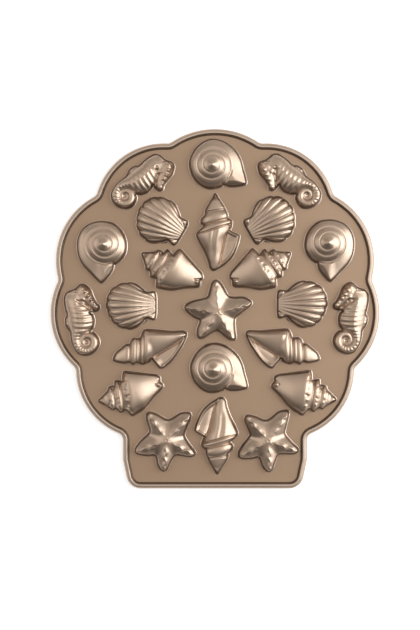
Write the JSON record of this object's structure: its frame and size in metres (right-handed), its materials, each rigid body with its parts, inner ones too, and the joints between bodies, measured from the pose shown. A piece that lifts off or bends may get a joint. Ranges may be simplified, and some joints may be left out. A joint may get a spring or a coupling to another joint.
{
  "type": "seashell cake pan",
  "caption": "Cast aluminium cake pan with a scallop-shell outline, a raised rim and shallow shell, starfish and seahorse cups.",
  "frame": {"origin": "centre of the bounding box's bottom face, on the flat cavity side that the pan is filled from", "axes": "+Z out of the outer, raised side of the cups; +Y towards the scallop outline's top lobe; -Y towards its straight base; +X to the right in the picture"},
  "size_m": [0.2926, 0.32, 0.0198],
  "materials": {
    "deck_metal": "cast aluminium with a satin bronze nonstick coating",
    "cup_metal": "cast aluminium with a satin bronze nonstick coating, a little glossier over the shells"
  },
  "bodies": {
    "root": {"deck": "deck_metal", "rim": "deck_metal", "snail_cup_top": "cup_metal", "snail_cup_centre": "cup_metal", "snail_cup_left": "cup_metal", "snail_cup_right": "cup_metal", "seahorse_cup_top_left": "cup_metal", "seahorse_cup_top_right": "cup_metal", "seahorse_cup_left": "cup_metal", "seahorse_cup_right": "cup_metal", "scallop_cup_left": "cup_metal", "scallop_cup_right": "cup_metal", "scallop_cup_upper_left": "cup_metal", "scallop_cup_upper_right": "cup_metal", "spindle_cup_top": "cup_metal", "spindle_cup_bottom": "cup_metal", "murex_cup_upper_left": "cup_metal", "murex_cup_upper_right": "cup_metal", "murex_cup_lower_left": "cup_metal", "murex_cup_lower_right": "cup_metal", "whelk_cup_left": "cup_metal", "whelk_cup_right": "cup_metal", "star_cup_centre": "cup_metal", "star_cup_left": "cup_metal", "star_cup_right": "cup_metal"}
  },
  "joints": []
}
